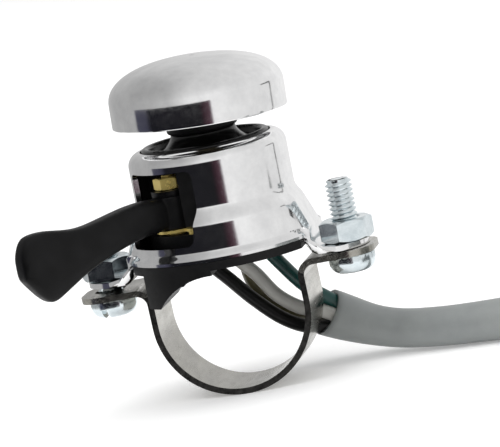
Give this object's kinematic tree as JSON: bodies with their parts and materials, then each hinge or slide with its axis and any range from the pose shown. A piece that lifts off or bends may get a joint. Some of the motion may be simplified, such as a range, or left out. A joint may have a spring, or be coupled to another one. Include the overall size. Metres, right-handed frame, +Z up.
{
  "type": "handlebar horn push and dip switch",
  "caption": "Chromed handlebar switch with a domed horn push, a side dip lever, a strap clamp and a sleeved cable with bullet connectors.",
  "frame": {"origin": "axis of the handlebar that the saddle and the strap clamp round, in the middle of the strap's width", "axes": "+Y along the handlebar, away from the side where the dip lever points; +Z up the switch body, towards the horn cap; +X towards the side where the cable leaves"},
  "size_m": [0.2107, 0.047, 0.0504],
  "materials": {
    "chrome": "bright nickel-chrome plate over pressed steel",
    "nickel_strap": "warm nickel plate, slightly dull",
    "zinc": "bright bluish zinc plate",
    "black_lever": "matte moulded black with a fine grain",
    "black_moulding": "plain black moulding",
    "boot_rubber": "glossy moulded rubber",
    "brass": "plain turned and stamped brass",
    "dark_steel": "oil-blacked steel",
    "spring_steel": "drawn spring wire",
    "wire_black": "soft PVC insulation",
    "wire_white": "soft PVC insulation, natural white",
    "wire_green": "soft PVC insulation",
    "wire_olive": "soft PVC insulation, brown olive",
    "sleeve_grey": "flexible grey PVC tubing",
    "tie_black": "nylon tie"
  },
  "bodies": {
    "body": {"housing": "chrome", "base_saddle": "black_moulding", "switch_block": "black_moulding", "base_screws": "zinc", "terminals": "brass", "pivot_pin": "brass", "pivot_nut": "brass", "pivot_spring_washer": "dark_steel", "fixed_contacts": "brass", "detent_ball": "spring_steel", "detent_spring": "spring_steel", "contact_blade": "brass", "horn_spring": "spring_steel", "horn_boot": "boot_rubber", "clamp_nut_left": "zinc", "clamp_nut_right": "zinc", "wire_black": "wire_black", "wire_white": "wire_white", "wire_green": "wire_green", "wire_olive": "wire_olive", "cable_sleeve": "sleeve_grey", "cable_hank": "sleeve_grey", "hank_tie": "tie_black", "tail_black": "wire_black", "tail_white": "wire_white", "tail_green": "wire_green", "tail_olive": "wire_olive", "bullet_black": "brass", "bullet_white": "brass", "bullet_green": "brass", "bullet_olive": "brass"},
    "button": {"horn_cap": "chrome", "cap_boss": "brass", "horn_plunger": "black_moulding", "plunger_screw": "brass", "contact_disc": "brass"},
    "lever": {"dip_lever": "black_lever", "moving_contact": "brass"},
    "clamp": {"clamp_strap": "nickel_strap", "clamp_screw_left": "zinc", "clamp_screw_right": "zinc"}
  },
  "joints": [
    {"name": "horn_push", "type": "slide", "parent": "body", "child": "button", "axis": [0, 0, 1], "range_m": [-0.0022, 0], "stiffness_N_per_m": 500, "springref_m": 0.002, "deforming": ["horn_spring", "horn_boot"]},
    {"name": "dip_turn", "type": "hinge", "parent": "body", "child": "lever", "pos_m": [-0.0051, -0.0064, 0.02], "axis": [0, 0, 1], "range_deg": [0, 24]},
    {"name": "clamp_opening", "type": "slide", "parent": "body", "child": "clamp", "axis": [0, 0, -1], "range_m": [0, 0.0045]}
  ]
}
